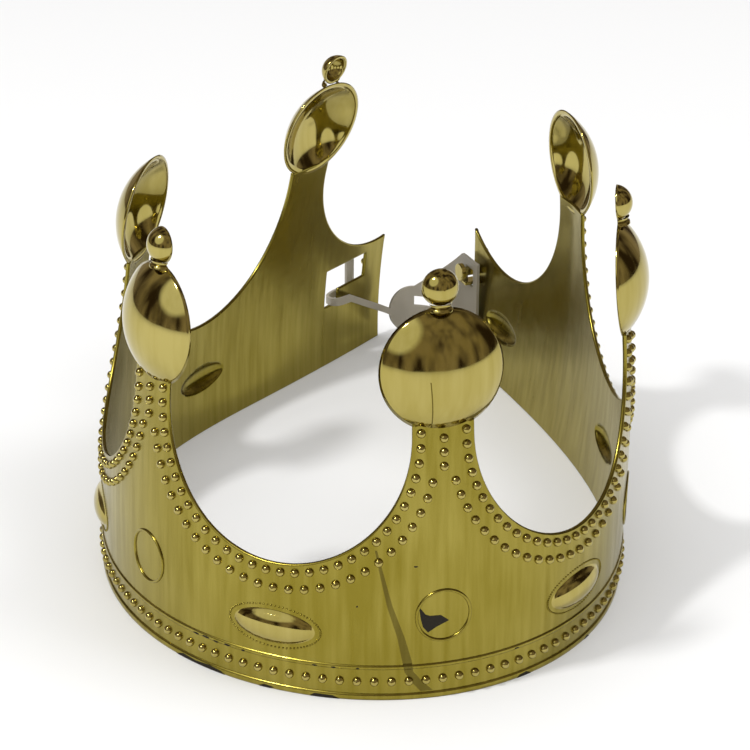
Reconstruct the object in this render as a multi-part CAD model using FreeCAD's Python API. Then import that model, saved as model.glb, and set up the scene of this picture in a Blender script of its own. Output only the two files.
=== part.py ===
"""A one-piece moulded plastic costume crown, sprung open at the back, and the strap that closes it."""
import math
import os

import FreeCAD
import Part

V = FreeCAD.Vector

# The flat pattern of the moulding: s runs along the bottom edge to the right of the front, z upwards.
POINT_SPACING = 95.0
POINT_NUMBERS = (-3, -2, -1, 1, 2, 3)
POINTS_WITHOUT_BALL = (-2, 3)
LEFT_TAIL = 5.0
RIGHT_TAIL = 24.0
LEFT_END = POINT_NUMBERS[0] * POINT_SPACING - LEFT_TAIL
RIGHT_END = POINT_NUMBERS[-1] * POINT_SPACING + RIGHT_TAIL
SCALLOP_RADIUS = 38.5
SCALLOP_FLOOR = 39.2
WALL = 1.2

# How the moulding is sprung open: the turn of the wall, in degrees per 100 mm, at stations along s.
BENDS = ((-314, -8), (-228, -4), (-171, 39), (-86, 54.5), (0, 73), (57, 88.5), (114, 65), (171, 30),
         (238, 12.5), (314, 1))
WALK_STEP = 1.0
SAMPLE_STEP = 12
SHEET_MARGIN = 12.0
SHEET_BOTTOM = -3.0
TRIM = 1.5

# How far the sprung wall stands outside its bottom edge 100 mm up, at stations along s: the part of it that
# grows with the height, and the part that grows with the height squared and curls the points back in.
LEANS = ((-300, 2.2), (-237.5, 1.8), (-142.5, 1.5), (-47.5, 1.3), (47.5, 1.9), (142.5, 6.9), (237.5, 15.8),
         (315, 15.5))
CURLS = ((-300, -23.6), (-237.5, -16.4), (-142.5, -9.2), (-47.5, -5.7), (47.5, -7.3), (142.5, -8.9),
         (237.5, -12.3), (315, -19.7))

DOME_HEIGHT = 95.8
DOME_RADIUS = 17.2
DOME_DEPTH = 7.8
BALL_RADIUS = 5.1
BALL_DEPTH = 4.4
COLLAR_RADIUS = 2.9
COLLAR_HEIGHT = 0.2
COLLAR_BITE = 1.0
POINT_LIP = 0.4
SHEET_TOP = DOME_HEIGHT + DOME_RADIUS + COLLAR_HEIGHT + 3 * BALL_RADIUS

OVAL_NUMBERS = (-2, -1, 0, 1, 2, 3)
OVAL_HEIGHT = 19.7
OVAL_LENGTH = 24.5
OVAL_WIDTH = 10.0
OVAL_BULGE = 2.6
OVAL_SINK = 1.5

MEDALLION_HEIGHT = 25.4
MEDALLION_RADIUS = 8.0
MEDALLION_RIM = 0.9
RELIEF = 0.5
LIP_TOP = 1.8
RIB_BOTTOM = 9.7
RIB_WIDTH = 0.9

WINDOW_FROM_END = 11.0
WINDOW_LENGTH = 15.0
WINDOW_NOTCH = 7.5
WINDOW_SILL = 27.3
WINDOW_NOTCH_SILL = 22.3
WINDOW_HEAD = 36.0

HOOK_FROM_END = 2.5
HOOK_STATION = RIGHT_END - HOOK_FROM_END
HOOK_REACH = 5.4
SHAFT_WIDTH = 2.4
SHAFT_BOTTOM = 32.0
SHAFT_TOP = 34.5
HEAD_RADIUS = 3.1
HEAD_THICKNESS = 1.6
LEDGE_WIDTH = 4.4
LEDGE_BOTTOM = 28.8
LEDGE_THICKNESS = 1.2

STRAP = 1.0
STRAP_OUTSIDE = 2.3
STRAP_INSIDE = 3.6
STRAP_PLAY = 0.8
STRAP_TURN_STATION = LEFT_END + WINDOW_FROM_END + WINDOW_LENGTH + STRAP_PLAY
STRAP_BACK_BULGE = 6.0
STRAP_TAIL = 14.0
STRAP_AWAY = 1.8
STRAP_LEAD = 3.5
STRAP_LAP = 6.0
STRAP_SAMPLE = 1.5
TONGUE_HEIGHT = 2.6
T_BAR_WIDTH = 4.5
T_BAR_TOP = 36.8
TAB_BOTTOM = 1.6
TAB_TOP = 19.6
PLATE_BOTTOM = 13.5
PLATE_TOP = 37.5
SLOT_HEIGHT = 3.6
SLOT_LENGTH = 11.0
OPENING_PLAY = 0.8


def value_at(table, s):
    """The value at s of a table of stations, straight between them and level past its ends."""
    if s <= table[0][0]:
        return table[0][1]
    for (s0, value0), (s1, value1) in zip(table, table[1:]):
        if s <= s1:
            return value0 + (value1 - value0) * (s - s0) / (s1 - s0)
    return table[-1][1]


def bend_at(s):
    """The curvature of the wall's plan at s, in radians per mm."""
    return math.radians(value_at(BENDS, s)) / 100


def walk_plan(direction, length):
    """Points (s, x, y, heading) of the plan, walked from the front centre to one end."""
    x = y = heading = 0.0
    points = [(0.0, x, y, heading)]
    for i in range(int(length / WALK_STEP)):
        s = direction * i * WALK_STEP
        middle = heading + direction * bend_at(s) * WALK_STEP / 2
        heading += direction * bend_at(s + direction * WALK_STEP / 2) * WALK_STEP
        x += direction * math.cos(middle) * WALK_STEP
        y += direction * math.sin(middle) * WALK_STEP
        points.append((s + direction * WALK_STEP, x, y, heading))
    return points


def sheet_length(end):
    """The whole number of samples, as a length, that reaches past one end of the moulding."""
    return SAMPLE_STEP * math.ceil((end + SHEET_MARGIN) / SAMPLE_STEP)


def plan_samples():
    """Evenly spaced plan points from past the left end to past the right end."""
    left = walk_plan(-1, sheet_length(-LEFT_END))
    right = walk_plan(1, sheet_length(RIGHT_END))
    step = int(SAMPLE_STEP / WALK_STEP)
    return left[::step][:0:-1] + right[::step]


def outward_shift(s, z):
    """How far the sprung wall stands outside its bottom edge, and the slope of that along z."""
    lean = value_at(LEANS, s) / 100
    curl = value_at(CURLS, s) / 100 ** 2
    return lean * z + curl * z * z, lean + 2 * curl * z


def point_station(number):
    """The place along s of a point: numbers -1 and 1 stand beside the front centre."""
    return (abs(number) - 0.5) * math.copysign(POINT_SPACING, number)


def sheet_row(samples, offset, z, shift_of):
    """A curve along the wall at one row of the sheet's poles."""
    points = []
    for s, x, y, heading in samples:
        out = offset + shift_of(s)
        points.append(V(x + out * math.sin(heading), y - out * math.cos(heading), z))
    row = Part.BSplineCurve()
    row.interpolate(Points=points, Parameters=[sample[0] for sample in samples])
    return row


def wall_sheet(samples, offset):
    """The sprung wall's surface at an offset from its outer face, with s and z as its own coordinates."""
    half = (SHEET_TOP - SHEET_BOTTOM) / 2

    def middle_pole(s):
        shift, slope = outward_shift(s, SHEET_BOTTOM)
        return shift + slope * half

    rows = (
        sheet_row(samples, offset, SHEET_BOTTOM, lambda s: outward_shift(s, SHEET_BOTTOM)[0]),
        sheet_row(samples, offset, SHEET_BOTTOM + half, middle_pole),
        sheet_row(samples, offset, SHEET_TOP, lambda s: outward_shift(s, SHEET_TOP)[0]),
    )
    return surface_from_rows(rows, SHEET_BOTTOM, SHEET_TOP)


def surface_from_rows(rows, bottom, top):
    """A surface through rows of poles that share their knots."""
    poles = [list(column) for column in zip(*(row.getPoles() for row in rows))]
    degree = len(rows) - 1
    surface = Part.BSplineSurface()
    surface.buildFromPolesMultsKnots(
        poles, rows[0].getMultiplicities(), [degree + 1, degree + 1],
        rows[0].getKnots(), [bottom, top], False, False, rows[0].Degree, degree)
    return surface


def line(start, end):
    """A straight line of the flat pattern."""
    return Part.Geom2d.Line2dSegment(FreeCAD.Base.Vector2d(*start), FreeCAD.Base.Vector2d(*end))


def arc(centre, radius, start, end):
    """An arc of the flat pattern, its angles in degrees."""
    circle = Part.Geom2d.Circle2d(FreeCAD.Base.Vector2d(*centre), radius)
    return Part.Geom2d.ArcOfCircle2d(circle, math.radians(start), math.radians(end))


def polygon(corners):
    """A closed outline of straight lines."""
    return [line(a, b) for a, b in zip(corners, corners[1:] + corners[:1])]


def wrapped_plate(inner, outer, outline):
    """A solid between two sheets, bounded by a flat outline."""
    faces = []
    rims = []
    for sheet in (inner, outer):
        wire = Part.Wire(Part.__sortEdges__([curve.toShape(sheet) for curve in outline]))
        face = Part.Face(sheet, wire)
        face.validate()
        faces.append(face)
        rims.append(wire.Edges)
    faces += [Part.makeRuledSurface(a, b, 1) for a, b in zip(*rims)]
    shell = Part.makeShell(faces)
    shell.sewShape()
    return Part.makeSolid(shell)


def plan_point(sheet, s, z):
    """A point of a sheet at the height z, dropped to the ground."""
    point = sheet.value(s, z)
    return V(point.x, point.y, 0)


def local_frame(sheet, s, z):
    """A placement on a sheet: x along the wall, y up it, z straight out of it."""
    along = sheet.tangent(s, z)[0]
    out = sheet.normal(s, z)
    return FreeCAD.Placement(sheet.value(s, z), FreeCAD.Rotation(along, out.cross(along), out, "ZXY"))


def placed(shape, placement):
    """The shape moved from its own frame to its place on the wall."""
    shape.Placement = placement.multiply(shape.Placement)
    return shape


def scallop_edge(centre, s):
    """The height of a scallop's edge at s."""
    return SCALLOP_FLOOR + SCALLOP_RADIUS - math.sqrt(SCALLOP_RADIUS ** 2 - (s - centre) ** 2)


def scallop_angle(centre, s):
    """The angle on a scallop's circle of its edge at s."""
    return 270 + math.degrees(math.asin((s - centre) / SCALLOP_RADIUS))


def wall_outline():
    """The flat pattern's outer edge, with the tongues that carry the domes."""
    arc_height = SCALLOP_FLOOR + SCALLOP_RADIUS
    half_neck = POINT_SPACING / 2 - SCALLOP_RADIUS
    tongue_top = DOME_HEIGHT - math.sqrt((DOME_RADIUS - WALL / 2) ** 2 - half_neck ** 2)
    stations = [point_station(number) for number in POINT_NUMBERS]
    first = stations[0] - POINT_SPACING / 2
    last = stations[-1] + POINT_SPACING / 2
    outline = [
        line((LEFT_END, -TRIM), (RIGHT_END, -TRIM)),
        line((RIGHT_END, -TRIM), (RIGHT_END, scallop_edge(last, RIGHT_END))),
        arc((last, arc_height), SCALLOP_RADIUS, 180, scallop_angle(last, RIGHT_END)),
    ]
    for s in reversed(stations):
        corners = [(s + half_neck, arc_height), (s + half_neck, tongue_top),
                   (s - half_neck, tongue_top), (s - half_neck, arc_height)]
        outline += [line(a, b) for a, b in zip(corners, corners[1:])]
        if s != stations[0]:
            outline.append(arc((s - POINT_SPACING / 2, arc_height), SCALLOP_RADIUS, 180, 360))
    outline.append(arc((first, arc_height), SCALLOP_RADIUS, scallop_angle(first, LEFT_END), 360))
    outline.append(line((LEFT_END, scallop_edge(first, LEFT_END)), (LEFT_END, -TRIM)))
    return outline


def box_outline(left, bottom, right, top):
    """A rectangle of the flat pattern."""
    return polygon([(left, bottom), (right, bottom), (right, top), (left, top)])


def half_ring_outline(centre, radius, width, start):
    """Half of a flat ring, from a start angle."""
    outer = arc(centre, radius, start, start + 180)
    inner = arc(centre, radius - width, start, start + 180)
    rays = [(math.cos(math.radians(angle)), math.sin(math.radians(angle))) for angle in (start, start + 180)]
    joints = [line(*((centre[0] + r * x, centre[1] + r * y) for r in (radius, radius - width))) for x, y in rays]
    return [outer, joints[1], inner, joints[0]]


def cap(base_radius, depth, inset):
    """A spherical cap on the plane z = 0, made smaller all round by an inset."""
    sphere_radius = (base_radius ** 2 + depth ** 2) / (2 * depth)
    drop = sphere_radius - depth
    radius = sphere_radius - inset
    solid = Part.makeSphere(radius, V(0, 0, -drop), V(0, 0, 1), math.degrees(math.asin(drop / radius)), 90, 360)
    return solid, math.sqrt(radius ** 2 - drop ** 2)


def hollow(base_radius, depth, reach):
    """What is cut from behind a cap to leave one wall's thickness of it."""
    solid, mouth = cap(base_radius, depth, WALL)
    return [solid, Part.makeCylinder(mouth, reach, V(0, 0, -reach), V(0, 0, 1))]


def oval(inset):
    """A cabochon, an ellipsoid sunk so that it meets the curved wall in an oval."""
    centre = V(0, 0, -OVAL_SINK)
    height = OVAL_SINK + OVAL_BULGE
    half_width = OVAL_WIDTH / 2 / math.sqrt(1 - (OVAL_SINK / height) ** 2)
    stretch = FreeCAD.Matrix()
    stretch.scale(OVAL_LENGTH / 2 - inset, half_width - inset, height - inset)
    ball = Part.makeSphere(1).transformGeometry(stretch)
    ball.translate(centre)
    return ball


def points_relief(samples):
    """The domes, balls and collars of the points, and the hollows behind them."""
    inner = wall_sheet(samples, -WALL - POINT_LIP)
    added = []
    removed = []
    for number in POINT_NUMBERS:
        s = point_station(number)
        dome_place = local_frame(inner, s, DOME_HEIGHT)
        added.append(placed(cap(DOME_RADIUS, DOME_DEPTH, 0)[0], dome_place))
        removed += [placed(tool, dome_place) for tool in hollow(DOME_RADIUS, DOME_DEPTH, 2 * WALL)]
        if number in POINTS_WITHOUT_BALL:
            continue
        rise = DOME_RADIUS + COLLAR_HEIGHT + BALL_RADIUS
        ball_place = dome_place.multiply(FreeCAD.Placement(V(0, rise, 0), FreeCAD.Rotation()))
        added.append(placed(cap(BALL_RADIUS, BALL_DEPTH, 0)[0], ball_place))
        removed += [placed(tool, ball_place) for tool in hollow(BALL_RADIUS, BALL_DEPTH, 2 * WALL)]
        start = DOME_RADIUS - COLLAR_BITE
        length = COLLAR_HEIGHT + 2 * COLLAR_BITE
        collar = Part.makeCylinder(COLLAR_RADIUS, length, V(0, start, 0), V(0, 1, 0), 180)
        added.append(placed(collar, dome_place))
    return added, removed


def wall_relief(samples, outer):
    """The cabochons, medallion rings, lip and rib of the band, and the hollows behind the cabochons."""
    core = wall_sheet(samples, -WALL / 2)
    raised = wall_sheet(samples, RELIEF)
    added = [wrapped_plate(core, raised, box_outline(LEFT_END, -TRIM, RIGHT_END, LIP_TOP)),
             wrapped_plate(core, raised, box_outline(LEFT_END, RIB_BOTTOM, RIGHT_END, RIB_BOTTOM + RIB_WIDTH))]
    removed = []
    for number in POINT_NUMBERS:
        centre = (point_station(number), MEDALLION_HEIGHT)
        for start in (0, 180):
            outline = half_ring_outline(centre, MEDALLION_RADIUS, MEDALLION_RIM, start)
            added.append(wrapped_plate(core, raised, outline))
    above = wall_sheet(samples, 2 * OVAL_BULGE)
    for number in OVAL_NUMBERS:
        s = number * POINT_SPACING
        place = local_frame(outer, s, OVAL_HEIGHT)
        keep = box_outline(s - OVAL_LENGTH, OVAL_HEIGHT - OVAL_WIDTH, s + OVAL_LENGTH, OVAL_HEIGHT + OVAL_WIDTH)
        added.append(placed(oval(0), place).common(wrapped_plate(core, above, keep)))
        removed.append(placed(oval(WALL), place))
    return added, removed


def window_corners():
    """The slot at the left end: a window with a notch at one side for the strap."""
    far = LEFT_END + WINDOW_FROM_END
    notch = far + WINDOW_LENGTH
    near = notch + WINDOW_NOTCH
    return [(far, WINDOW_SILL), (notch, WINDOW_SILL), (notch, WINDOW_NOTCH_SILL), (near, WINDOW_NOTCH_SILL),
            (near, WINDOW_HEAD), (far, WINDOW_HEAD)]


def ground():
    """What is trimmed off below the crown to leave a flat bottom edge."""
    reach = RIGHT_END - LEFT_END
    return Part.makeBox(2 * reach, 2 * reach, 2 * TRIM, V(-reach, -reach, -2 * TRIM))


def hook(inner):
    """The hook inside the right end: a headed shaft over a ledge."""
    out = inner.normal(HOOK_STATION, 0)
    level = V(out.x, out.y, 0)
    up = V(0, 0, 1)
    place = FreeCAD.Placement(plan_point(inner, HOOK_STATION, SHAFT_BOTTOM),
                              FreeCAD.Rotation(up.cross(level), up, level, "ZXY"))
    root = WALL / 2
    shaft = Part.makeBox(SHAFT_WIDTH, SHAFT_TOP - SHAFT_BOTTOM, HOOK_REACH + root,
                         V(-SHAFT_WIDTH / 2, SHAFT_BOTTOM, -HOOK_REACH))
    ledge = Part.makeBox(LEDGE_WIDTH, LEDGE_THICKNESS, HOOK_REACH + root,
                         V(-LEDGE_WIDTH / 2, LEDGE_BOTTOM, -HOOK_REACH))
    head = Part.makeCylinder(HEAD_RADIUS, HEAD_THICKNESS,
                             V(0, (SHAFT_BOTTOM + SHAFT_TOP) / 2, -HOOK_REACH), V(0, 0, -1))
    return [placed(shape, place) for shape in (shaft, ledge, head)]


def crown(samples):
    """The whole moulding."""
    inner = wall_sheet(samples, -WALL)
    outer = wall_sheet(samples, 0)
    wall = wrapped_plate(inner, outer, wall_outline())
    window = wrapped_plate(wall_sheet(samples, -2 * WALL), wall_sheet(samples, WALL), polygon(window_corners()))
    added, removed = points_relief(samples)
    band_added, band_removed = wall_relief(samples, outer)
    solid = wall.multiFuse(added + band_added + hook(inner))
    return solid.cut(removed + band_removed + [window, ground()])


def strap_path(samples):
    """The strap's line in plan: outside the window, through it, across the back gap and along the right end."""
    outside = wall_sheet(samples, STRAP_OUTSIDE)
    inside = wall_sheet(samples, -STRAP_INSIDE)
    away = wall_sheet(samples, -STRAP_INSIDE - STRAP_AWAY)
    turn_start = plan_point(outside, STRAP_TURN_STATION, WINDOW_SILL)
    turn_end = plan_point(inside, STRAP_TURN_STATION, WINDOW_SILL)
    centre = (turn_start + turn_end) / 2
    arm = turn_start - centre
    points = [plan_point(outside, STRAP_TURN_STATION - part, WINDOW_SILL) for part in (STRAP_TAIL, STRAP_TAIL / 2)]
    points += [centre + FreeCAD.Rotation(V(0, 0, 1), angle).multVec(arm) for angle in range(0, 181, 45)]
    points += [plan_point(away, s, TAB_TOP) for s in (STRAP_TURN_STATION - STRAP_TAIL, LEFT_END)]
    right = [plan_point(inside, s, SHAFT_BOTTOM)
             for s in (RIGHT_END + STRAP_LEAD, HOOK_STATION, HOOK_STATION - STRAP_LAP)]
    bulge = V(0, STRAP_BACK_BULGE, 0)
    return points + [(points[-1] + right[0]) / 2 + bulge] + right


def strap_marks(path):
    """The distance along the strap's line to each of its points."""
    marks = [0.0]
    for a, b in zip(path, path[1:]):
        marks.append(marks[-1] + (b - a).Length)
    return marks


def strap_sheet(path, marks, offset, top):
    """An upright surface beside the strap's line, with the distance along the line and z as coordinates."""
    guide = Part.BSplineCurve()
    guide.interpolate(Points=path, Parameters=marks)
    count = round(marks[-1] / STRAP_SAMPLE)
    stations = [marks[-1] * i / count for i in range(count + 1)]
    rows = []
    for z in (0, top):
        points = []
        for station in stations:
            point = guide.value(station)
            along = guide.tangent(station)[0]
            points.append(V(point.x + offset * along.y, point.y - offset * along.x, z))
        row = Part.BSplineCurve()
        row.interpolate(Points=points, Parameters=stations)
        rows.append(row)
    return surface_from_rows(rows, 0, top)


def strap(samples):
    """The closure strap: a T-bar, a thin tongue, a wide tab with a slot and an end plate on the hook."""
    path = strap_path(samples)
    marks = strap_marks(path)
    sheets = [strap_sheet(path, marks, side * STRAP / 2, SHEET_TOP) for side in (-1, 1)]
    tongue_top = WINDOW_NOTCH_SILL + TONGUE_HEIGHT
    tongue_bend = marks[6] + STRAP_LEAD
    tab_radius = (TAB_TOP - TAB_BOTTOM) / 2
    tab_middle = (TAB_TOP + TAB_BOTTOM) / 2
    tab_centre = marks[8] + tab_radius
    root = math.degrees(math.asin(TONGUE_HEIGHT / 2 / tab_radius))
    root_mark = tab_centre - tab_radius * math.cos(math.radians(root))
    hook_mark = marks[11]
    upper = [(tab_centre, TAB_TOP), (marks[10], PLATE_TOP), (marks[12], PLATE_TOP),
             (marks[12], PLATE_BOTTOM), (marks[10], PLATE_BOTTOM), (tab_centre, TAB_BOTTOM)]
    lower = [(root_mark, tab_middle - TONGUE_HEIGHT / 2), (tongue_bend, WINDOW_NOTCH_SILL),
             (T_BAR_WIDTH, WINDOW_NOTCH_SILL), (0, WINDOW_NOTCH_SILL), (0, T_BAR_TOP), (T_BAR_WIDTH, T_BAR_TOP),
             (T_BAR_WIDTH, tongue_top), (tongue_bend, tongue_top), (root_mark, tab_middle + TONGUE_HEIGHT / 2)]
    outline = [line(a, b) for a, b in zip(upper, upper[1:])]
    outline.append(arc((tab_centre, tab_middle), tab_radius, 180 + root, 270))
    outline += [line(a, b) for a, b in zip(lower, lower[1:])]
    outline.append(arc((tab_centre, tab_middle), tab_radius, 90, 180 - root))
    body = wrapped_plate(sheets[0], sheets[1], outline)
    wide = [strap_sheet(path, marks, side * STRAP, SHEET_TOP) for side in (-1, 1)]
    half_opening = LEDGE_WIDTH / 2 + OPENING_PLAY
    opening = box_outline(hook_mark - half_opening, LEDGE_BOTTOM - OPENING_PLAY, hook_mark + half_opening, SHAFT_TOP)
    slot = box_outline(tab_centre, TAB_TOP - 2 * SLOT_HEIGHT, tab_centre + SLOT_LENGTH, TAB_TOP - SLOT_HEIGHT)
    return body.cut([wrapped_plate(wide[0], wide[1], hole) for hole in (opening, slot)])


def main():
    """Both pieces, set down with the middle of their box over the origin."""
    samples = plan_samples()
    pieces = {"crown": crown(samples), "closure_strap": strap(samples)}
    box = Part.makeCompound(list(pieces.values())).optimalBoundingBox()
    shift = V(-box.Center.x, -box.Center.y, -box.ZMin)
    os.makedirs("parts", exist_ok=True)
    for name, shape in pieces.items():
        shape.translate(shift)
        shape.exportStep("parts/" + name + ".step")


main()
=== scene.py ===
"""The look of the plastic costume crown: its metallised wall with beads, domes and wear, and its strap."""
import math

import bmesh
import bpy
import numpy as np
from mathutils import Matrix, Vector
from mathutils.geometry import delaunay_2d_cdt


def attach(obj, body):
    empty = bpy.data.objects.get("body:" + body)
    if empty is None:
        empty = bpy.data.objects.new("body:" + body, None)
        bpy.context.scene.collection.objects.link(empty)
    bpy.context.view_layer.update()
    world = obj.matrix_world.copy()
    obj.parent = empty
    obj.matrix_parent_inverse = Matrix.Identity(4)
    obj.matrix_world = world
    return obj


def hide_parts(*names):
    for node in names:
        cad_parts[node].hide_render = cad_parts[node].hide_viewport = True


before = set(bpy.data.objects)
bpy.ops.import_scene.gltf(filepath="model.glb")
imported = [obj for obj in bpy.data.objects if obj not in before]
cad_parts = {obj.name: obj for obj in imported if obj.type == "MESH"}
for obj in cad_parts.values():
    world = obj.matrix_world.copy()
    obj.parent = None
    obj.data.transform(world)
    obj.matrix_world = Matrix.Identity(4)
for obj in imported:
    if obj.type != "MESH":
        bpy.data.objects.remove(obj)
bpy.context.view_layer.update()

# The flat pattern in millimetres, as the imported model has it: s along the bottom edge, z upwards.
MM = 0.001
POINT_SPACING = 95.0
POINTS = (-3, -2, -1, 1, 2, 3)
POINTS_WITHOUT_BALL = (-2, 3)
LEFT_END = -290.0
RIGHT_END = 309.0
SCALLOP_RADIUS = 38.5
SCALLOP_FLOOR = 39.2
SCALLOP_CENTRE = SCALLOP_FLOOR + SCALLOP_RADIUS
WALL = 1.2
FRONT = (10.453, -119.605, 0.0)
BENDS = ((-314, -8), (-228, -4), (-171, 39), (-86, 54.5), (0, 73), (57, 88.5), (114, 65), (171, 30),
         (238, 12.5), (314, 1))
LEANS = ((-300, 2.2), (-237.5, 1.8), (-142.5, 1.5), (-47.5, 1.3), (47.5, 1.9), (142.5, 6.9), (237.5, 15.8),
         (315, 15.5))
CURLS = ((-300, -23.6), (-237.5, -16.4), (-142.5, -9.2), (-47.5, -5.7), (47.5, -7.3), (142.5, -8.9),
         (237.5, -12.3), (315, -19.7))

DOME_HEIGHT = 95.8
DOME_RADIUS = 17.2
DOME_DEPTH = 7.8
BALL_RADIUS = 5.1
BALL_DEPTH = 4.4
COLLAR_HEIGHT = 0.2
POINT_LIP = 0.4
OVALS = (-2, -1, 0, 1, 2, 3)
OVAL_HEIGHT = 19.7
OVAL_SHELL = (13.0, 5.37, 4.1)
OVAL_HOLLOW = (11.6, 4.17, 2.9)
OVAL_SINK = 1.5
MEDALLION_HEIGHT = 25.4
MEDALLION_RADIUS = 7.6
MEDALLION_RIM = (0.45, 0.5)
DOT_RING = (13.7, 6.4, 74)
DOT_RADIUS = 0.32
NEAR_WINDOW = (-280.3, 21.0, -255.2, 37.3)
WINDOW = ((-279.0, 27.3), (-264.0, 27.3), (-264.0, 22.3), (-256.5, 22.3), (-256.5, 36.0), (-279.0, 36.0))

BEAD_RADIUS = 1.3
BEAD_PITCH = 4.75
BEADS_FROM_END = 2.8
BOTTOM_BEADS_HEIGHT = 5.7
SCALLOP_BEAD_ROWS = ((41.0, 5.945, 16, 0.5), (46.0, 5.69, 13, 0))
CENTRE_BEADS = (69.4, 73.4, 77.4)
EDGE_ROUND = 0.3
HOOK_STATION = 306.5
HOOK_BLOCKS = ((2.4, 32.0, 34.5), (4.4, 28.8, 30.0))
HOOK_REACH = 5.4
HOOK_HEAD = (3.1, 1.6, 33.25)

# Where the film is chipped or marked: flat pattern places in millimetres.
CHIPS = (((40.5, 28.7), (41.1, 24.6), (41.7, 22.3), (43.1, 20.5), (45.6, 22.1), (49.0, 23.6), (46.7, 25.5),
          (43.6, 25.6), (41.7, 26.4)),
         ((-33.9, 0.1), (-29.0, 0.1), (-22.0, 0.1), (-15.4, 0.1), (-17.0, 0.9), (-21.0, 1.4), (-26.0, 0.9),
          (-31.0, 1.3)),
         ((-4.5, 0.1), (-1.0, 0.1), (0.4, 0.6), (-2.7, 1.0)),
         ((10.6, 0.1), (15.0, 0.1), (19.1, 0.1), (17.0, 1.0), (12.0, 1.1)),
         ((70.6, 0.1), (75.7, 0.1), (74.0, 1.2), (71.6, 0.9)), ((100.0, 0.1), (103.2, 0.1), (101.8, 0.9)))
CHIP_SPOTS = ((-25.7, 9.9, 1.3, 0.35), (-22.0, 10.1, 1.6, 0.4), (-18.4, 9.8, 1.1, 0.35),
              (-14.6, 10.0, 1.4, 0.4), (-9.2, 9.9, 0.8, 0.3), (12.1, 10.0, 0.9, 0.3), (17.4, 9.9, 0.8, 0.3), (24.0, 10.0, 0.6, 0.3),
              (70.1, 10.0, 0.8, 0.3), (39.6, 40.8, 0.7, 0.3), (23.7, 28.9, 0.35, 0.35))
STREAK = ((28.7, 45.9, 0.3), (30.6, 37.5, 0.55), (32.6, 29.0, 0.75), (35.7, 19.4, 1.0), (37.4, 12.1, 1.3),
          (38.0, 8.5, 1.2), (40.5, 5.0, 1.5), (43.0, 2.2, 1.7))
GATE_LINE = ((-4.9, -1.0), (-3.3, -16.6))
GATE_LINE_WIDTH = 0.32
MESH_STEP = 2.6

# The camera, from the photograph: degrees, millimetres in the row frame, and pixels of a 750 pixel frame.
CAMERA_PLACE = (282.104, -709.326, 390.414)
CAMERA_AZIMUTH = 22.258
CAMERA_ELEVATION = 24.540
CAMERA_ROLL = 0.466
FOCAL_PIXELS = 2718.4
FRAME_PIXELS = 750.0
CENTRE_PIXEL = (377.66, 379.05)
SENSOR = 36.0

# The stage: where the pale window of the painted reflection lies as seen from the object, and how far off the
# glowing shell that carries this painted reflection is.
PAINTED_WINDOW_DIRECTION = (-0.30, -0.66, 0.69)
REFLECTION_SHELL_RADIUS = 3.0
FLOOR_REACH = 6.0
LAMPS = (("key", (-0.5, -0.7, 1.3), 0.16, 9.0), ("fill", (1.2, 0.2, 1.2), 1.0, 8.0))


def plan_table():
    """The sprung plan at every millimetre of s: columns s, x, y and heading."""
    stations, turns = zip(*BENDS)
    columns = []
    for direction, length in ((-1, 312), (1, 324)):
        steps = np.arange(length)
        here = np.radians(np.interp(direction * steps, stations, turns)) / 100
        ahead = np.radians(np.interp(direction * (steps + 0.5), stations, turns)) / 100
        heading = np.concatenate([[0], np.cumsum(direction * ahead)])
        middle = heading[:-1] + direction * here / 2
        x = np.concatenate([[0], np.cumsum(direction * np.cos(middle))])
        y = np.concatenate([[0], np.cumsum(direction * np.sin(middle))])
        table = np.stack([direction * np.arange(length + 1), x, y, heading], axis=1)
        columns.append(table[:0:-1] if direction < 0 else table)
    return np.concatenate(columns)


PLAN = plan_table()


def station(number):
    """The place along s of a point."""
    return (abs(number) - 0.5) * math.copysign(POINT_SPACING, number)


def on_wall(s, z, offset=0.0):
    """Places in the row frame, in metres, of flat pattern points at an offset from the wall's outer face."""
    s, z, offset = (np.asarray(value, float) for value in np.broadcast_arrays(s, z, offset))
    x, y, heading = (np.interp(s, PLAN[:, 0], PLAN[:, k]) for k in (1, 2, 3))
    lean, curl = (np.interp(s, *zip(*table)) for table in (LEANS, CURLS))
    out = offset + lean * z / 100 + curl * (z / 100) ** 2
    return (np.stack([x + out * np.sin(heading), y - out * np.cos(heading), z], axis=-1) + FRONT) * MM


def wall_frame(s, z, offset=0.0):
    """A matrix at a place on the wall: x along it, y up it, z straight out of it, in metres."""
    step = 0.5
    along = Vector(on_wall(s + step, z, offset) - on_wall(s - step, z, offset)).normalized()
    up = Vector(on_wall(s, z + step, offset) - on_wall(s, z - step, offset)).normalized()
    out = along.cross(up).normalized()
    up = out.cross(along)
    matrix = Matrix((along, up, out)).transposed().to_4x4()
    matrix.translation = Vector(on_wall(s, z, offset))
    return matrix


def new_object(name, vertices, faces, material, pattern=None, smooth=True):
    """A mesh object that rides on the crown, with flat pattern coordinates in its UV map where given."""
    mesh = bpy.data.meshes.new(name)
    mesh.from_pydata([tuple(v) for v in vertices], [], [tuple(int(i) for i in f) for f in faces])
    mesh.validate()
    if pattern is not None:
        layer = mesh.uv_layers.new(name="pattern")
        corners = np.empty(len(mesh.loops), dtype=np.int64)
        mesh.loops.foreach_get("vertex_index", corners)
        layer.data.foreach_set("uv", (np.asarray(pattern, float)[corners] / 100).ravel())
    mesh.polygons.foreach_set("use_smooth", [smooth] * len(mesh.polygons))
    mesh.materials.append(material)
    thing = bpy.data.objects.new(name, mesh)
    bpy.context.scene.collection.objects.link(thing)
    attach(thing, "root")
    return thing


def scallop_edge(centre, s):
    """The height of a scallop's edge at s."""
    return SCALLOP_CENTRE - math.sqrt(SCALLOP_RADIUS ** 2 - (s - centre) ** 2)


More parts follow.
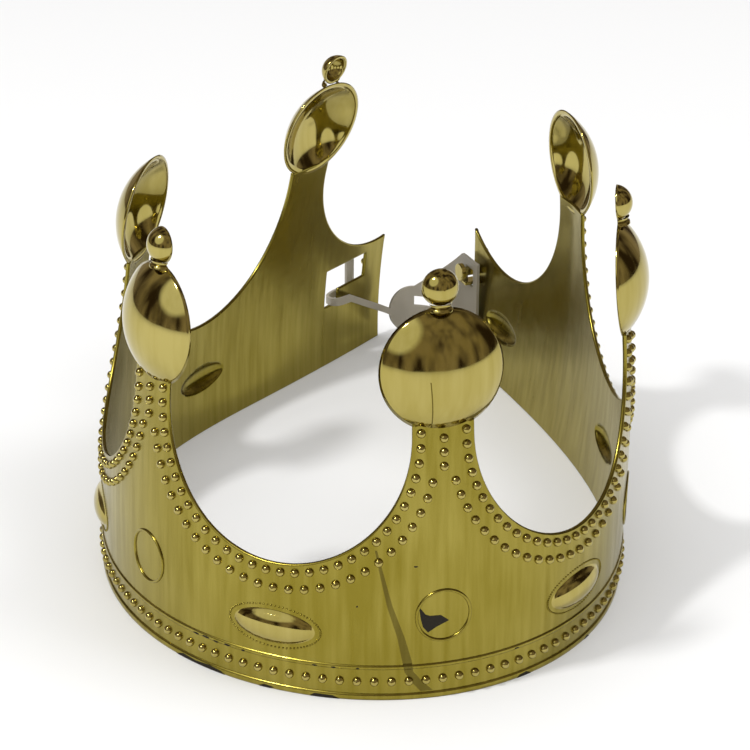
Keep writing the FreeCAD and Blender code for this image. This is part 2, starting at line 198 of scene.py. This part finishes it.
def wall_outline():
    """The wall's edge in the flat pattern as a closed polyline, counter-clockwise."""
    step = 1.3
    half_neck = POINT_SPACING / 2 - SCALLOP_RADIUS
    top = DOME_HEIGHT - math.sqrt((DOME_RADIUS - WALL / 2) ** 2 - half_neck ** 2)
    points = [(s, 0.0) for s in np.arange(LEFT_END, RIGHT_END, 2 * step)]
    first = station(POINTS[0]) - POINT_SPACING / 2
    last = station(POINTS[-1]) + POINT_SPACING / 2
    right_top = scallop_edge(last, RIGHT_END)
    points += [(RIGHT_END, z) for z in np.arange(0, right_top, 2 * step)]
    start = 270 + math.degrees(math.asin((RIGHT_END - last) / SCALLOP_RADIUS))
    points += scallop_arc(last, start, 180, step)
    for number in reversed(POINTS):
        s = station(number)
        points += [(s + half_neck, z) for z in np.linspace(SCALLOP_CENTRE, top, 6)[1:-1]]
        points += [(x, top) for x in np.linspace(s + half_neck, s - half_neck, 13)]
        points += [(s - half_neck, z) for z in np.linspace(top, SCALLOP_CENTRE, 6)[1:-1]]
        if number != POINTS[0]:
            points += scallop_arc(s - POINT_SPACING / 2, 360, 180, step)
    end = 270 + math.degrees(math.asin((LEFT_END - first) / SCALLOP_RADIUS))
    points += scallop_arc(first, 360, end, step)
    left_top = scallop_edge(first, LEFT_END)
    points += [(LEFT_END, z) for z in np.arange(left_top, 0, -2 * step)[1:]]
    return np.array(points)


def scallop_arc(centre, start, end, step):
    """Points of a scallop's edge between two angles."""
    count = max(2, round(abs(math.radians(end - start)) * SCALLOP_RADIUS / step))
    angles = np.radians(np.linspace(start, end, count + 1))
    return [(centre + SCALLOP_RADIUS * math.cos(a), SCALLOP_CENTRE + SCALLOP_RADIUS * math.sin(a))
            for a in angles]


def split_sides(corners, step):
    """A polygon with points added along its sides."""
    points = []
    for a, b in zip(corners, corners[1:] + corners[:1]):
        count = max(1, round(math.dist(a, b) / step))
        points += [(a[0] + (b[0] - a[0]) * i / count, a[1] + (b[1] - a[1]) * i / count) for i in range(count)]
    return np.array(points)


def inset(points, amount):
    """A closed counter-clockwise polyline moved inwards."""
    ahead = np.roll(points, -1, axis=0) - points
    behind = points - np.roll(points, 1, axis=0)
    lengths = [np.maximum(np.linalg.norm(v, axis=1, keepdims=True), 1e-9) for v in (ahead, behind)]
    tangent = ahead / lengths[0] + behind / lengths[1]
    tangent /= np.maximum(np.linalg.norm(tangent, axis=1, keepdims=True), 1e-9)
    return points + amount * np.stack([-tangent[:, 1], tangent[:, 0]], axis=1)


def inside(points, polygon):
    """Which points lie inside a closed polygon."""
    x, y = points[:, 0][:, None], points[:, 1][:, None]
    x0, y0 = polygon[:, 0], polygon[:, 1]
    x1, y1 = np.roll(x0, -1), np.roll(y0, -1)
    crosses = (y0 > y) != (y1 > y)
    with np.errstate(divide="ignore", invalid="ignore"):
        at = (x1 - x0) * (y - y0) / (y1 - y0) + x0
    return (np.sum(crosses & (x < at), axis=1) % 2).astype(bool)


def without_repeats(points):
    """The polyline without points that lie on their neighbour."""
    keep = np.linalg.norm(points - np.roll(points, 1, axis=0), axis=1) > 0.05
    return points[keep]


def ellipse(centre, half_length, half_height, count=72):
    """Points of an oval of the flat pattern."""
    angles = np.linspace(0, 2 * math.pi, count + 1)[:-1]
    return np.stack([centre + half_length * np.cos(angles), OVAL_HEIGHT + half_height * np.sin(angles)], axis=1)


def oval_rise(points, size, base):
    """How far the wall's face is raised by the cabochons: ellipsoids sunk in it, never below the plain face."""
    rise = np.full(len(points), float(base))
    for number in OVALS:
        level = ((points[:, 0] - number * POINT_SPACING) / size[0]) ** 2
        level = level + ((points[:, 1] - OVAL_HEIGHT) / size[1]) ** 2
        rise = np.maximum(rise, size[2] * np.sqrt(np.maximum(1 - level, 0)) - OVAL_SINK)
    return rise


def oval_rings():
    """Rings of points that carry the cabochons: closer together at their rims."""
    rings = []
    for number in OVALS:
        centre = number * POINT_SPACING
        for size, base in ((OVAL_SHELL, 0.0), (OVAL_HOLLOW, -WALL)):
            mouth = math.sqrt(1 - ((base + OVAL_SINK) / size[2]) ** 2)
            rings.append(ellipse(centre, size[0] * mouth, size[1] * mouth))
        for level in (0.97, 0.88, 0.76, 0.62, 0.46, 0.3, 0.15):
            count = max(12, int(72 * level))
            rings.append(ellipse(centre, OVAL_HOLLOW[0] * level, OVAL_HOLLOW[1] * level, count))
        rings.append(ellipse(centre, OVAL_SHELL[0] * 0.93 + 0.35, OVAL_SHELL[1] * 0.93 + 0.35))
    return np.concatenate(rings)


def near_oval(points):
    """Which points lie under or close round a cabochon."""
    close = np.zeros(len(points), bool)
    for number in OVALS:
        level = ((points[:, 0] - number * POINT_SPACING) / (OVAL_SHELL[0] + 0.6)) ** 2
        close |= level + ((points[:, 1] - OVAL_HEIGHT) / (OVAL_SHELL[1] + 0.8)) ** 2 < 1
    return close


def build_wall(material, painted_pale_mirror):
    """The thin wall with its hollow cabochons: a fine outer and inner face, and a rounded rim at every edge."""
    outline = without_repeats(wall_outline())
    window = split_sides(list(WINDOW), 1.5)
    edge = inset(outline, EDGE_ROUND)
    sill = inset(window, -EDGE_ROUND)
    s, z = np.meshgrid(np.arange(LEFT_END, RIGHT_END, MESH_STEP), np.arange(0, 90, MESH_STEP * 0.866))
    s[1::2] += MESH_STEP / 2
    grid = np.stack([s.ravel(), z.ravel()], axis=1)
    grid = grid[inside(grid, inset(outline, 1.5)) & ~inside(grid, inset(window, -1.5)) & ~near_oval(grid)]
    count_edge, count_sill = len(edge), len(sill)
    guards = [inset(outline, 2 * EDGE_ROUND), inset(window, -2 * EDGE_ROUND)]
    flat = np.concatenate([edge, sill, *guards, oval_rings(), grid])
    loops = [(i, (i + 1) % count_edge) for i in range(count_edge)]
    loops += [(count_edge + i, count_edge + (i + 1) % count_sill) for i in range(count_sill)]
    result = delaunay_2d_cdt([Vector(p) for p in flat], loops, [], 0, 1e-4)
    flat = np.array([tuple(v) for v in result[0]])
    triangles = np.array([tuple(f) for f in result[2]])
    centres = flat[triangles].mean(axis=1)
    triangles = triangles[inside(centres, edge) & ~inside(centres, sill)]
    origin = {}
    for new, old in enumerate(result[3]):
        for index in old:
            origin[index] = new
    count = len(flat)
    vertices = [on_wall(flat[:, 0], flat[:, 1], oval_rise(flat, OVAL_SHELL, 0)),
                on_wall(flat[:, 0], flat[:, 1], oval_rise(flat, OVAL_HOLLOW, -WALL))]
    pattern = [flat, flat]
    faces = [tuple(t) for t in triangles] + [tuple(t[::-1] + count) for t in triangles]
    base = 2 * count
    for rim, first, turn in ((outline, 0, 1), (window, count_edge, -1)):
        size = len(rim)
        for depth in (-EDGE_ROUND, EDGE_ROUND - WALL):
            vertices.append(on_wall(rim[:, 0], rim[:, 1], depth))
            pattern.append(rim)
        for i in range(size):
            j = (i + 1) % size
            outer = (origin[first + i], origin[first + j])
            rows = (outer, (base + i, base + j), (base + size + i, base + size + j),
                    (outer[0] + count, outer[1] + count))
            for upper, lower in zip(rows, rows[1:]):
                quad = (upper[1], upper[0], lower[0], lower[1])
                faces.append(quad[::turn])
        base += 2 * size
    wall = new_object("crown_wall", np.concatenate(vertices), faces, material, np.concatenate(pattern))
    wall.data.materials.append(painted_pale_mirror)
    # The raised cabochon faces take the paler gold copy: mirror-smooth, and painted paler as a painted brighter
    # reflection.
    raised = oval_rise(flat[triangles].mean(axis=1), OVAL_SHELL, 0) > 0
    for polygon, high in zip(wall.data.polygons, raised):
        polygon.material_index = int(high)
    return wall


def revolve(profile, segments, sweep=360.0, start=0.0):
    """Vertices and faces of a profile (radius, height) turned about the z axis."""
    closed = sweep >= 360
    turns = segments if closed else segments + 1
    angles = np.radians(start + sweep * np.arange(turns) / segments)
    vertices = [(r * math.cos(a), r * math.sin(a), h) for r, h in profile for a in angles]
    faces = []
    for row in range(len(profile) - 1):
        for i in range(segments):
            j = (i + 1) % turns
            a, b = row * turns + i, row * turns + j
            faces.append((a, b, b + turns, a + turns))
    return np.array(vertices), faces


def cap_profile(base_radius, depth, rings, wall=WALL):
    """The section of a hollow spherical cap, from its middle inside round its rim to its middle outside."""
    sphere = (base_radius ** 2 + depth ** 2) / (2 * depth)
    drop = sphere - depth
    outer_angle = math.acos(drop / sphere)
    inner_angle = math.acos(drop / (sphere - wall))
    inner = [((sphere - wall) * math.sin(a), (sphere - wall) * math.cos(a) - drop)
             for a in np.linspace(0, inner_angle, rings)]
    outer = [(sphere * math.sin(a), sphere * math.cos(a) - drop) for a in np.linspace(outer_angle, 0, rings)]
    return inner + [(base_radius - wall / 2, -0.12)] + outer


def closed_rows(rows, count):
    """Quads between rings of points that follow each other in a list."""
    return [(r * count + i, r * count + (i + 1) % count, (r + 1) * count + (i + 1) % count, (r + 1) * count + i)
            for r in range(rows - 1) for i in range(count)]


def placed(vertices, matrix):
    """Millimetre vertices of a local frame set down at a matrix in metres."""
    turned = np.asarray(vertices) @ np.array(matrix.to_3x3()).T * MM
    return turned + np.array(matrix.translation)


def merge(parts):
    """One list of vertices and faces from several."""
    vertices = []
    faces = []
    base = 0
    for points, polygons in parts:
        vertices.append(points)
        faces += [tuple(i + base for i in polygon) for polygon in polygons]
        base += len(points)
    return np.concatenate(vertices), faces


def build_points(material):
    """The hollow domes, the small hollow balls and the collars between them."""
    offset = -WALL - POINT_LIP
    dome = revolve(cap_profile(DOME_RADIUS, DOME_DEPTH, 18), 72)
    ball = revolve(cap_profile(BALL_RADIUS, BALL_DEPTH, 12, 1.0), 36)
    top = DOME_RADIUS + COLLAR_HEIGHT
    collar_profile = [(3.4, -1.0), (3.3, -0.2), (2.6, 0.1), (2.5, COLLAR_HEIGHT - 0.1),
                      (3.2, COLLAR_HEIGHT + 0.9)]
    collar = revolve([(r, h + DOME_RADIUS) for r, h in collar_profile], 24, 180, 0)
    domes = []
    balls = []
    for number in POINTS:
        place = wall_frame(station(number), DOME_HEIGHT, offset)
        domes.append((placed(dome[0], place), dome[1]))
        if number in POINTS_WITHOUT_BALL:
            continue
        balls.append((placed(ball[0] + np.array([0, top + BALL_RADIUS, 0]), place), ball[1]))
        turned = collar[0][:, [0, 2, 1]]
        balls.append((placed(turned, place), [f[::-1] for f in collar[1]]))
    new_object("crown_domes", *merge(domes), material)
    new_object("crown_balls", *merge(balls), material)


def scallop_beads(centre):
    """The flat pattern places of the two rows of beads that follow a scallop's edge."""
    places = []
    for radius, step, count, phase in SCALLOP_BEAD_ROWS:
        for i in range(-count, count + 1):
            angle = math.radians((i + phase) * step)
            if i + phase <= count:
                places.append((centre + radius * math.sin(angle), SCALLOP_CENTRE - radius * math.cos(angle)))
    return places


def bead_places():
    """The flat pattern places of all the beads: none at the ends or over the window."""
    first, last = math.ceil(LEFT_END / BEAD_PITCH), math.floor(RIGHT_END / BEAD_PITCH)
    places = [(i * BEAD_PITCH, BOTTOM_BEADS_HEIGHT) for i in range(first, last + 1)]
    places += [(station(number), z) for number in POINTS for z in CENTRE_BEADS]
    for number in range(POINTS[0], POINTS[-1] + 1):
        places += scallop_beads(number * POINT_SPACING)
    left, low, right, high = NEAR_WINDOW
    return [(s, z) for s, z in places if LEFT_END + BEADS_FROM_END < s < RIGHT_END - BEADS_FROM_END
            and not (left < s < right and low < z < high)]


def build_beads(material):
    """All the beads as half balls on the wall."""
    angles = np.radians((-12, 8, 28, 48, 68, 90))
    profile = [(BEAD_RADIUS * math.cos(a), BEAD_RADIUS * math.sin(a)) for a in angles]
    bead = revolve(profile, 14)
    parts = []
    for s, z in bead_places():
        parts.append((placed(bead[0], wall_frame(s, z)), bead[1]))
    new_object("crown_beads", *merge(parts), material)


def build_band(material):
    """The lip along the bottom edge and the double line above the bottom beads."""
    sections = {
        "crown_lip": [(0, -0.3), (0.0, 0.35), (0.35, 0.5), (1.3, 0.5), (1.75, 0.3), (1.9, -0.1)],
        "crown_rib": [(9.4, -0.1), (9.6, 0.3), (9.9, 0.45), (10.4, 0.45), (10.7, 0.3), (10.9, -0.1)],
    }
    s = np.arange(LEFT_END, RIGHT_END + 1, 2.0)
    for name, section in sections.items():
        rows = [on_wall(s, z, offset) for z, offset in section]
        count = len(s)
        faces = [(r * count + i, r * count + i + 1, (r + 1) * count + i + 1, (r + 1) * count + i)
                 for r in range(len(section) - 1) for i in range(count - 1)]
        pattern = np.concatenate([np.stack([s, np.full(count, z)], axis=1) for z, _ in section])
        new_object(name, np.concatenate(rows), faces, material, pattern)


def build_oval_dots(material):
    """The fine row of dots round each cabochon."""
    dots = []
    dot = revolve([(DOT_RADIUS * math.cos(a), DOT_RADIUS * math.sin(a)) for a in np.radians((0, 45, 90))], 8)
    for number in OVALS:
        for s, z in ellipse(number * POINT_SPACING, *DOT_RING):
            dots.append((placed(dot[0], wall_frame(s, z)), dot[1]))
    new_object("crown_oval_dots", *merge(dots), material)


def build_hook(material):
    """The moulded hook inside the right end: a headed shaft over a ledge."""
    mesh = bmesh.new()
    place = wall_frame(HOOK_STATION, 33.0, -WALL)
    out = Vector(place.col[2][:3])
    out.z = 0
    out.normalize()
    up = Vector((0, 0, 1))
    along = up.cross(out)
    foot = Vector(on_wall(HOOK_STATION, HOOK_HEAD[2], -WALL))
    foot.z = 0
    turn = Matrix((along, up, out)).transposed().to_4x4()
    turn.translation = foot
    for width, bottom, top in HOOK_BLOCKS:
        size = Matrix.Diagonal((width * MM, (top - bottom) * MM, (HOOK_REACH + 0.5) * MM, 1))
        shift = Matrix.Translation((0, (bottom + top) / 2 * MM, (0.5 - HOOK_REACH) / 2 * MM))
        bmesh.ops.create_cube(mesh, size=1, matrix=turn @ shift @ size)
    radius, thickness, height = HOOK_HEAD
    shift = Matrix.Translation((0, height * MM, -(HOOK_REACH + thickness / 2) * MM))
    bmesh.ops.create_cone(mesh, cap_ends=True, segments=36, radius1=radius * MM, radius2=radius * MM,
                          depth=thickness * MM, matrix=turn @ shift)
    sharp = [edge for edge in mesh.edges if edge.calc_face_angle(0) > 0.7]
    bmesh.ops.bevel(mesh, geom=sharp, offset=0.2 * MM, segments=2, affect="EDGES", profile=0.5)
    data = bpy.data.meshes.new("crown_hook")
    mesh.to_mesh(data)
    mesh.free()
    data.materials.append(material)
    thing = bpy.data.objects.new("crown_hook", data)
    bpy.context.scene.collection.objects.link(thing)
    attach(thing, "root")


def wall_face(s, z):
    """How far the outermost face stands off the plain wall at a place."""
    if z < 1.85:
        return 0.5
    if 9.5 < z < 10.8:
        return 0.46
    return 0.0


def flake(corners):
    """A thin patch on the wall with these corners, fine enough to follow it."""
    centre = np.mean(corners, axis=0)
    border = split_sides([tuple(c) for c in corners], 0.7)
    rows = [centre + (border - centre) * size for size in (1.0, 0.6, 0.2)]
    points = np.concatenate(rows + [centre[None]])
    count = len(border)
    faces = closed_rows(3, count)
    faces += [(2 * count + i, 2 * count + (i + 1) % count, 3 * count) for i in range(count)]
    offsets = np.array([wall_face(s, z) for s, z in points]) + 0.04
    return on_wall(points[:, 0], points[:, 1], offsets), faces


def build_wear(chipped, dulled):
    """Chips where the black plastic shows, and the dull streak beside the front medallion."""
    rng = np.random.default_rng(7)
    parts = [flake(np.array(corners)) for corners in CHIPS]
    for s, z, length, height in CHIP_SPOTS:
        angles = np.linspace(0, 2 * math.pi, 10)[:-1]
        reach = rng.uniform(0.6, 1.0, len(angles))
        corners = [s + length * reach * np.cos(angles), z + height * reach * np.sin(angles)]
        parts.append(flake(np.stack(corners, axis=1)))
    new_object("crown_chips", *merge(parts), chipped)
    spine = np.array(STREAK)
    fine = np.linspace(0, len(spine) - 1, 60)
    s, z, width = (np.interp(fine, np.arange(len(spine)), spine[:, k]) for k in range(3))
    rows = []
    for side in (-1, -0.33, 0.33, 1):
        offsets = np.array([wall_face(a, b) for a, b in zip(s, z)]) + 0.025
        rows.append(on_wall(s + side * width, z, offsets))
    count = len(s)
    faces = [(r * count + i + 1, r * count + i, (r + 1) * count + i, (r + 1) * count + i + 1)
             for r in range(3) for i in range(count - 1)]
    new_object("crown_streak", np.concatenate(rows), faces, dulled)
    line = []
    sphere = (DOME_RADIUS ** 2 + DOME_DEPTH ** 2) / (2 * DOME_DEPTH)
    for t in np.linspace(0, 1, 24):
        x, y = (a + (b - a) * t for a, b in zip(*GATE_LINE))
        for side in (-GATE_LINE_WIDTH / 2, GATE_LINE_WIDTH / 2):
            line.append((x + side, y, math.sqrt(sphere ** 2 - x * x - y * y) - sphere + DOME_DEPTH + 0.03))
    faces = [(2 * i, 2 * i + 1, 2 * i + 3, 2 * i + 2) for i in range(23)]
    place = wall_frame(station(1), DOME_HEIGHT, -WALL - POINT_LIP)
    new_object("crown_gate_line", placed(line, place), faces, dulled)


def build_medallions(material):
    """The raised rings under the points."""
    parts = []
    section = np.radians(np.linspace(-20, 200, 11))
    angles = np.linspace(0, 2 * math.pi, 73)[:-1]
    for number in POINTS:
        rows = []
        for a in section:
            radius = MEDALLION_RADIUS + MEDALLION_RIM[0] * math.cos(a)
            rows.append(on_wall(station(number) + radius * np.cos(angles),
                                MEDALLION_HEIGHT + radius * np.sin(angles),
                                MEDALLION_RIM[1] * math.sin(max(a, 0))))
        count = len(angles)
        faces = closed_rows(len(section), count)
        parts.append((np.concatenate(rows), faces))
    new_object("crown_medallions", *merge(parts), material)


def node(tree, kind, **values):
    """A shader node with its settings and input values."""
    made = tree.nodes.new(kind)
    for key, value in values.items():
        if key in made.inputs:
            made.inputs[key].default_value = value
        else:
            setattr(made, key, value)
    return made


def gold_material(name, pale, deep, roughness, streaks):
    """Metallised plastic: gold that varies slowly, with faint upright streaks in its sheen."""
    material = bpy.data.materials.new(name)
    material.use_nodes = True
    tree = material.node_tree
    shader = tree.nodes["Principled BSDF"]
    shader.inputs["Metallic"].default_value = 1.0
    place = node(tree, "ShaderNodeTexCoord")
    slow = node(tree, "ShaderNodeTexNoise", Scale=22.0, Detail=3.0)
    tree.links.new(place.outputs["Object"], slow.inputs["Vector"])
    mix = node(tree, "ShaderNodeMix", data_type="RGBA")
    mix.inputs["A"].default_value = (*pale, 1)
    mix.inputs["B"].default_value = (*deep, 1)
    tree.links.new(mix.outputs["Result"], shader.inputs["Base Color"])
    stretch = node(tree, "ShaderNodeMapping")
    stretch.inputs["Scale"].default_value = (1, 1, 0.06)
    tree.links.new(place.outputs["Object"], stretch.inputs["Vector"])
    streak = node(tree, "ShaderNodeTexNoise", Scale=420.0, Detail=4.0)
    tree.links.new(stretch.outputs["Vector"], streak.inputs["Vector"])
    both = node(tree, "ShaderNodeMath", operation="ADD")
    tree.links.new(slow.outputs["Fac"], both.inputs[0])
    tree.links.new(streak.outputs["Fac"], both.inputs[1])
    tone = node(tree, "ShaderNodeMapRange")
    tone.inputs["From Min"].default_value = 0.75
    tone.inputs["From Max"].default_value = 1.25
    tree.links.new(both.outputs[0], tone.inputs["Value"])
    tree.links.new(tone.outputs["Result"], mix.inputs["Factor"])
    spread = node(tree, "ShaderNodeMapRange")
    spread.inputs["To Min"].default_value = roughness - streaks
    spread.inputs["To Max"].default_value = roughness + streaks
    tree.links.new(streak.outputs["Fac"], spread.inputs["Value"])
    tree.links.new(spread.outputs["Result"], shader.inputs["Roughness"])
    wave = node(tree, "ShaderNodeTexNoise", Scale=60.0, Detail=2.0)
    tree.links.new(place.outputs["Object"], wave.inputs["Vector"])
    bump = node(tree, "ShaderNodeBump", Strength=0.10, Distance=0.002)
    tree.links.new(wave.outputs["Fac"], bump.inputs["Height"])
    tree.links.new(bump.outputs["Normal"], shader.inputs["Normal"])
    return material


def chip_material():
    """Bare black plastic with a worn sheen."""
    material = bpy.data.materials.new("bare_plastic")
    material.use_nodes = True
    tree = material.node_tree
    shader = tree.nodes["Principled BSDF"]
    shader.inputs["Specular IOR Level"].default_value = 0.15
    place = node(tree, "ShaderNodeTexCoord")
    grain = node(tree, "ShaderNodeTexNoise", Scale=1500.0, Detail=3.0)
    tree.links.new(place.outputs["Object"], grain.inputs["Vector"])
    mix = node(tree, "ShaderNodeMix", data_type="RGBA")
    mix.inputs["A"].default_value = (0.010, 0.008, 0.006, 1)
    mix.inputs["B"].default_value = (0.030, 0.024, 0.014, 1)
    tree.links.new(grain.outputs["Fac"], mix.inputs["Factor"])
    tree.links.new(mix.outputs["Result"], shader.inputs["Base Color"])
    spread = node(tree, "ShaderNodeMapRange")
    spread.inputs["To Min"].default_value = 0.45
    spread.inputs["To Max"].default_value = 0.7
    tree.links.new(grain.outputs["Fac"], spread.inputs["Value"])
    tree.links.new(spread.outputs["Result"], shader.inputs["Roughness"])
    bump = node(tree, "ShaderNodeBump", Strength=0.3, Distance=0.0002)
    tree.links.new(grain.outputs["Fac"], bump.inputs["Height"])
    tree.links.new(bump.outputs["Normal"], shader.inputs["Normal"])
    return material


def strap_material():
    """Frosted translucent plastic."""
    material = bpy.data.materials.new("frosted_strap")
    material.use_nodes = True
    tree = material.node_tree
    shader = tree.nodes["Principled BSDF"]
    shader.inputs["Transmission Weight"].default_value = 0.35
    shader.inputs["IOR"].default_value = 1.5
    place = node(tree, "ShaderNodeTexCoord")
    cloud = node(tree, "ShaderNodeTexNoise", Scale=90.0, Detail=4.0)
    tree.links.new(place.outputs["Object"], cloud.inputs["Vector"])
    mix = node(tree, "ShaderNodeMix", data_type="RGBA")
    mix.inputs["A"].default_value = (0.42, 0.38, 0.30, 1)
    mix.inputs["B"].default_value = (0.52, 0.48, 0.40, 1)
    tree.links.new(cloud.outputs["Fac"], mix.inputs["Factor"])
    tree.links.new(mix.outputs["Result"], shader.inputs["Base Color"])
    spread = node(tree, "ShaderNodeMapRange")
    spread.inputs["To Min"].default_value = 0.3
    spread.inputs["To Max"].default_value = 0.5
    tree.links.new(cloud.outputs["Fac"], spread.inputs["Value"])
    tree.links.new(spread.outputs["Result"], shader.inputs["Roughness"])
    bump = node(tree, "ShaderNodeBump", Strength=0.15, Distance=0.0005)
    tree.links.new(cloud.outputs["Fac"], bump.inputs["Height"])
    tree.links.new(bump.outputs["Normal"], shader.inputs["Normal"])
    return material


def shown_white(tree):
    """A factor that is 1 for camera, glossy and transmitted rays, and 0 for what lights the object."""
    path = node(tree, "ShaderNodeLightPath")
    most = None
    for output in ("Is Glossy Ray", "Is Transmission Ray"):
        larger = node(tree, "ShaderNodeMath", operation="MAXIMUM")
        tree.links.new(path.outputs["Is Camera Ray"] if most is None else most.outputs[0], larger.inputs[0])
        tree.links.new(path.outputs[output], larger.inputs[1])
        most = larger
    return most


def build_painted_reflection_shell():
    """Painted reflection for what the polished film mirrors above the floor: a glowing shell, seen only in
    glossy reflections, painted as a dim brown interior with a pale window at the left.
    """
    mesh = bmesh.new()
    bmesh.ops.create_uvsphere(mesh, u_segments=64, v_segments=32, radius=REFLECTION_SHELL_RADIUS)
    low = [face for face in mesh.faces if face.calc_center_median().z < 0.02]
    bmesh.ops.delete(mesh, geom=low, context="FACES")
    data = bpy.data.meshes.new("painted_reflection_shell")
    mesh.to_mesh(data)
    mesh.free()
    painted_reflection_shell = bpy.data.objects.new("painted_reflection_shell", data)
    bpy.context.scene.collection.objects.link(painted_reflection_shell)
    material = bpy.data.materials.new("painted_reflection_shell")
    material.use_nodes = True
    tree = material.node_tree
    tree.nodes.remove(tree.nodes["Principled BSDF"])
    glow = node(tree, "ShaderNodeEmission")
    place = node(tree, "ShaderNodeTexCoord")
    stretch = node(tree, "ShaderNodeMapping")
    stretch.inputs["Scale"].default_value = (1, 1, 0.25)
    tree.links.new(place.outputs["Object"], stretch.inputs["Vector"])
    shapes = node(tree, "ShaderNodeTexNoise", Scale=1.1, Detail=2.5)
    tree.links.new(stretch.outputs["Vector"], shapes.inputs["Vector"])
    # Painted reflection colours: dark brown and paler brown patches of a dim interior.
    ramp = node(tree, "ShaderNodeValToRGB")
    ramp.color_ramp.elements[0].position = 0.40
    ramp.color_ramp.elements[0].color = (0.035, 0.022, 0.015, 1)
    ramp.color_ramp.elements[1].position = 0.62
    ramp.color_ramp.elements[1].color = (0.36, 0.30, 0.24, 1)
    tree.links.new(shapes.outputs["Fac"], ramp.inputs["Fac"])
    # Painted reflection: a pale window patch, glowing, towards the direction given at the top.
    window = node(tree, "ShaderNodeVectorMath", operation="DOT_PRODUCT")
    window.inputs[1].default_value = PAINTED_WINDOW_DIRECTION
    tree.links.new(place.outputs["Object"], window.inputs[0])
    painted_window_pane = node(tree, "ShaderNodeMapRange")
    painted_window_pane.inputs["From Min"].default_value = 2.62
    painted_window_pane.inputs["From Max"].default_value = 2.78
    tree.links.new(window.outputs["Value"], painted_window_pane.inputs["Value"])
    mix = node(tree, "ShaderNodeMix", data_type="RGBA")
    mix.inputs["B"].default_value = (0.95, 0.95, 0.90, 1)
    tree.links.new(ramp.outputs["Color"], mix.inputs["A"])
    tree.links.new(painted_window_pane.outputs["Result"], mix.inputs["Factor"])
    tree.links.new(mix.outputs["Result"], glow.inputs["Color"])
    tree.links.new(glow.outputs[0], tree.nodes["Material Output"].inputs["Surface"])
    data.materials.append(material)
    # Seen only in glossy reflections: hidden from the camera, from diffuse and transmitted rays and from
    # shadows, so it lights nothing.
    painted_reflection_shell.visible_camera = False
    painted_reflection_shell.visible_diffuse = False
    painted_reflection_shell.visible_transmission = False
    painted_reflection_shell.visible_shadow = False


def build_stage():
    """A plain pale floor, a plain world and soft lamps."""
    scene = bpy.context.scene
    world = bpy.data.worlds.new("studio")
    scene.world = world
    world.use_nodes = True
    tree = world.node_tree
    background = tree.nodes["Background"]
    background.inputs["Color"].default_value = (0.75, 0.75, 0.75, 1)
    white = node(tree, "ShaderNodeBackground")
    white.inputs["Color"].default_value = (1, 1, 1, 1)
    mix = node(tree, "ShaderNodeMixShader")
    seen = shown_white(tree)
    tree.links.new(seen.outputs[0], mix.inputs[0])
    tree.links.new(background.outputs[0], mix.inputs[1])
    tree.links.new(white.outputs[0], mix.inputs[2])
    tree.links.new(mix.outputs[0], tree.nodes["World Output"].inputs["Surface"])

    mesh = bpy.data.meshes.new("floor")
    reach = FLOOR_REACH
    mesh.from_pydata([(-reach, -reach, 0), (reach, -reach, 0), (reach, reach, 0), (-reach, reach, 0)], [],
                     [(0, 1, 2, 3)])
    floor = bpy.data.objects.new("floor", mesh)
    scene.collection.objects.link(floor)
    material = bpy.data.materials.new("floor")
    material.use_nodes = True
    material.node_tree.nodes["Principled BSDF"].inputs["Base Color"].default_value = (0.9, 0.9, 0.9, 1)
    material.node_tree.nodes["Principled BSDF"].inputs["Roughness"].default_value = 0.9
    mesh.materials.append(material)

    for name, place, size, power in LAMPS:
        lamp = bpy.data.lights.new(name, "AREA")
        lamp.size = size
        lamp.energy = power
        thing = bpy.data.objects.new(name, lamp)
        thing.location = place
        thing.rotation_euler = (Vector((0, 0, 0.05)) - Vector(place)).to_track_quat("-Z", "Y").to_euler()
        thing.visible_glossy = name == "key"
        scene.collection.objects.link(thing)


def build_camera():
    """The camera at the photograph's place, angle and focal length."""
    azimuth, elevation, roll = (math.radians(a) for a in (CAMERA_AZIMUTH, CAMERA_ELEVATION, CAMERA_ROLL))
    ahead = Vector((-math.sin(azimuth) * math.cos(elevation), math.cos(azimuth) * math.cos(elevation),
                    -math.sin(elevation)))
    right = ahead.cross(Vector((0, 0, 1))).normalized()
    up = right.cross(ahead)
    turned_right = right * math.cos(roll) + up * math.sin(roll)
    turned_up = up * math.cos(roll) - right * math.sin(roll)
    data = bpy.data.cameras.new("camera")
    data.sensor_width = SENSOR
    data.sensor_fit = "HORIZONTAL"
    data.lens = FOCAL_PIXELS / FRAME_PIXELS * SENSOR
    data.shift_x = (FRAME_PIXELS / 2 - CENTRE_PIXEL[0]) / FRAME_PIXELS
    data.shift_y = (CENTRE_PIXEL[1] - FRAME_PIXELS / 2) / FRAME_PIXELS
    camera = bpy.data.objects.new("camera", data)
    matrix = Matrix((turned_right, turned_up, -ahead)).transposed().to_4x4()
    matrix.translation = Vector(CAMERA_PLACE) * MM
    camera.matrix_world = matrix
    bpy.context.scene.collection.objects.link(camera)
    bpy.context.scene.camera = camera


def main():
    """The whole scene."""
    # One gold film in two copies: a darker one for the band, and a mirror-smooth one for the raised parts that
    # is also painted paler, a painted brighter reflection.
    band = gold_material("gold_band", (0.35, 0.29, 0.060), (0.25, 0.20, 0.026), 0.24, 0.09)
    painted_pale_mirror = gold_material("gold_bright", (0.46, 0.385, 0.125), (0.39, 0.32, 0.085), 0.09, 0.03)
    worn = gold_material("gold_worn", (0.19, 0.155, 0.032), (0.14, 0.11, 0.020), 0.34, 0.08)
    pieces = [build_wall(band, painted_pale_mirror)]
    build_points(painted_pale_mirror)
    build_beads(painted_pale_mirror)
    build_band(band)
    build_oval_dots(band)
    build_medallions(band)
    build_hook(painted_pale_mirror)
    build_wear(chip_material(), worn)
    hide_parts("crown")
    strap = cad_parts["closure_strap"]
    strap.data.materials.clear()
    strap.data.materials.append(strap_material())
    build_stage()
    build_painted_reflection_shell()
    build_camera()
    bpy.context.scene.view_settings.view_transform = "Standard"


main()
